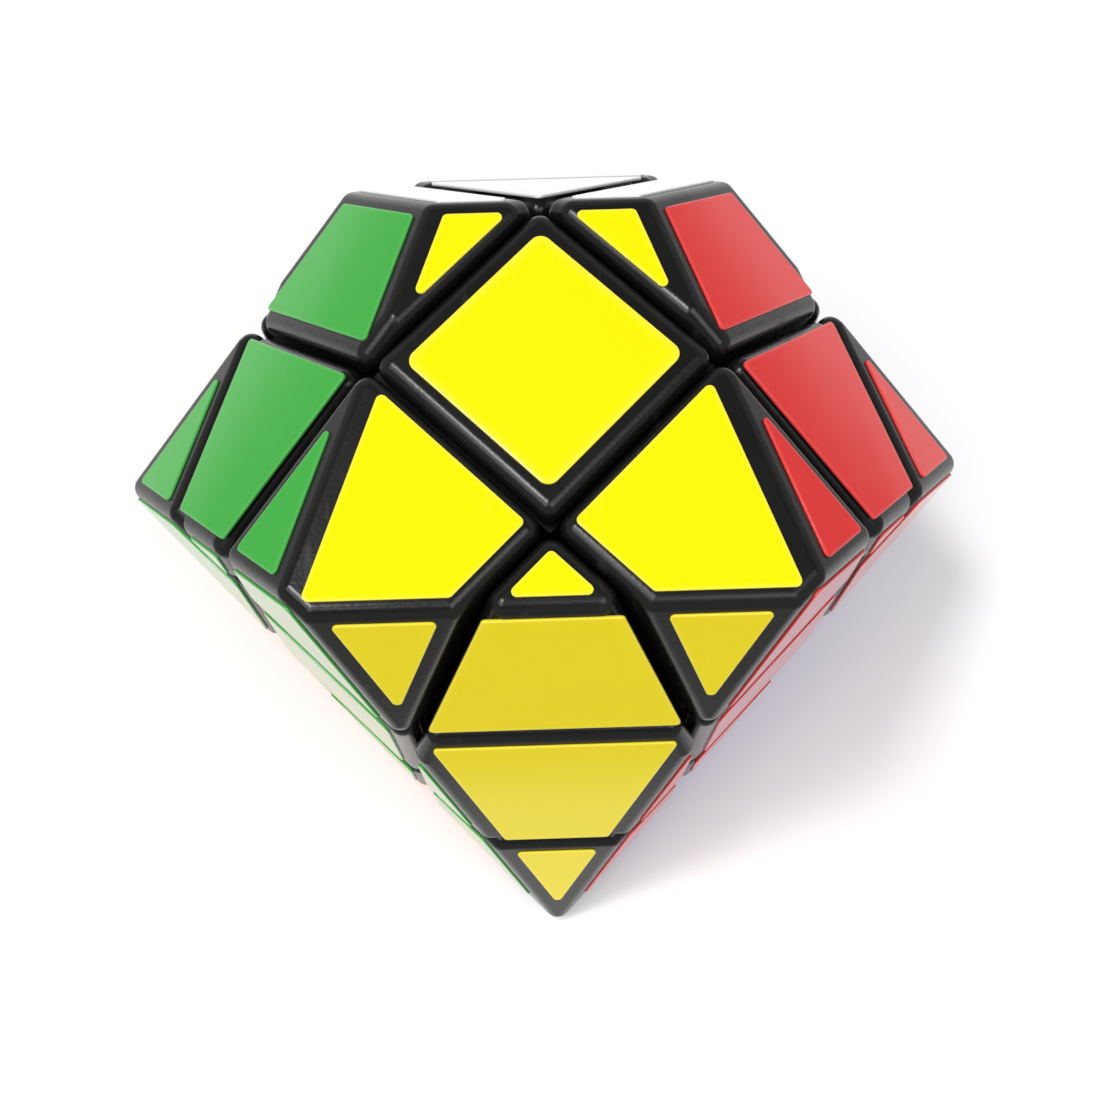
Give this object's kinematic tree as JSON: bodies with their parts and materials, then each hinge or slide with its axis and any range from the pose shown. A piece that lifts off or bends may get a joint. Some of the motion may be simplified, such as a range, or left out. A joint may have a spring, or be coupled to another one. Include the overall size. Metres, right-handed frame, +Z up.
{
  "type": "dodecahedron twisty puzzle",
  "caption": "Diamond-shaped twisty puzzle of black pieces with coloured stickers; its outer layers turn about a sprung core.",
  "frame": {"origin": "on the upright turning axis, in the plane of the base stickers that it rests on", "axes": "+Z up along the turning axis of the upper and lower layers, -Y towards the sharp corner at the front, +X to the right; left and right halves mirror each other"},
  "size_m": [0.0756, 0.0679, 0.0544],
  "materials": {
    "black_shell": "glossy black moulded plastic",
    "core_plastic": "matt white moulded plastic",
    "plated_steel": "bright zinc plate",
    "spring_steel": "drawn wire",
    "sticker_yellow": "glossy vinyl film",
    "sticker_purple": "glossy vinyl film",
    "sticker_orange": "glossy vinyl film",
    "sticker_blue": "glossy vinyl film",
    "sticker_green": "glossy vinyl film",
    "sticker_red": "glossy vinyl film",
    "sticker_white": "glossy vinyl film"
  },
  "bodies": {
    "middle_layer": {"cap_middle_back_left": "black_shell", "cap_middle_back_right": "black_shell", "cap_middle_front_left": "black_shell", "cap_middle_front_right": "black_shell", "centre_middle_back_left": "black_shell", "centre_middle_back_right": "black_shell", "centre_middle_front_left": "black_shell", "centre_middle_front_right": "black_shell", "core": "core_plastic", "edge_middle_back": "black_shell", "edge_middle_front": "black_shell", "edge_middle_left": "black_shell", "edge_middle_right": "black_shell", "screws": "plated_steel", "springs": "spring_steel", "stickers_blue_middle": "sticker_blue", "stickers_green_middle": "sticker_green", "stickers_orange_middle": "sticker_orange", "stickers_purple_middle": "sticker_purple", "stickers_red_middle": "sticker_red", "stickers_white_middle": "sticker_white", "stickers_yellow_middle": "sticker_yellow", "washers": "plated_steel"},
    "upper_layer": {"cap_top": "black_shell", "centre_top": "black_shell", "corner_top_back": "black_shell", "corner_top_front": "black_shell", "corner_top_left": "black_shell", "corner_top_right": "black_shell", "edge_top_back_left": "black_shell", "edge_top_back_right": "black_shell", "edge_top_front_left": "black_shell", "edge_top_front_right": "black_shell", "stickers_green_top": "sticker_green", "stickers_orange_top": "sticker_orange", "stickers_purple_top": "sticker_purple", "stickers_red_top": "sticker_red", "stickers_white_top": "sticker_white", "stickers_yellow_top": "sticker_yellow"},
    "lower_layer": {"cap_bottom": "black_shell", "centre_bottom": "black_shell", "corner_bottom_back": "black_shell", "corner_bottom_front": "black_shell", "corner_bottom_left": "black_shell", "corner_bottom_right": "black_shell", "edge_bottom_back_left": "black_shell", "edge_bottom_back_right": "black_shell", "edge_bottom_front_left": "black_shell", "edge_bottom_front_right": "black_shell", "stickers_base": "sticker_blue", "stickers_blue_bottom": "sticker_blue", "stickers_green_bottom": "sticker_green", "stickers_orange_bottom": "sticker_orange", "stickers_purple_bottom": "sticker_purple", "stickers_red_bottom": "sticker_red", "stickers_yellow_bottom": "sticker_yellow"}
  },
  "joints": [
    {"name": "upper_turn", "type": "hinge", "parent": "middle_layer", "child": "upper_layer", "pos_m": [0, 0, 0.0272], "axis": [0, 0, 1], "continuous": true},
    {"name": "lower_turn", "type": "hinge", "parent": "middle_layer", "child": "lower_layer", "pos_m": [0, 0, 0.0272], "axis": [0, 0, 1], "continuous": true}
  ]
}
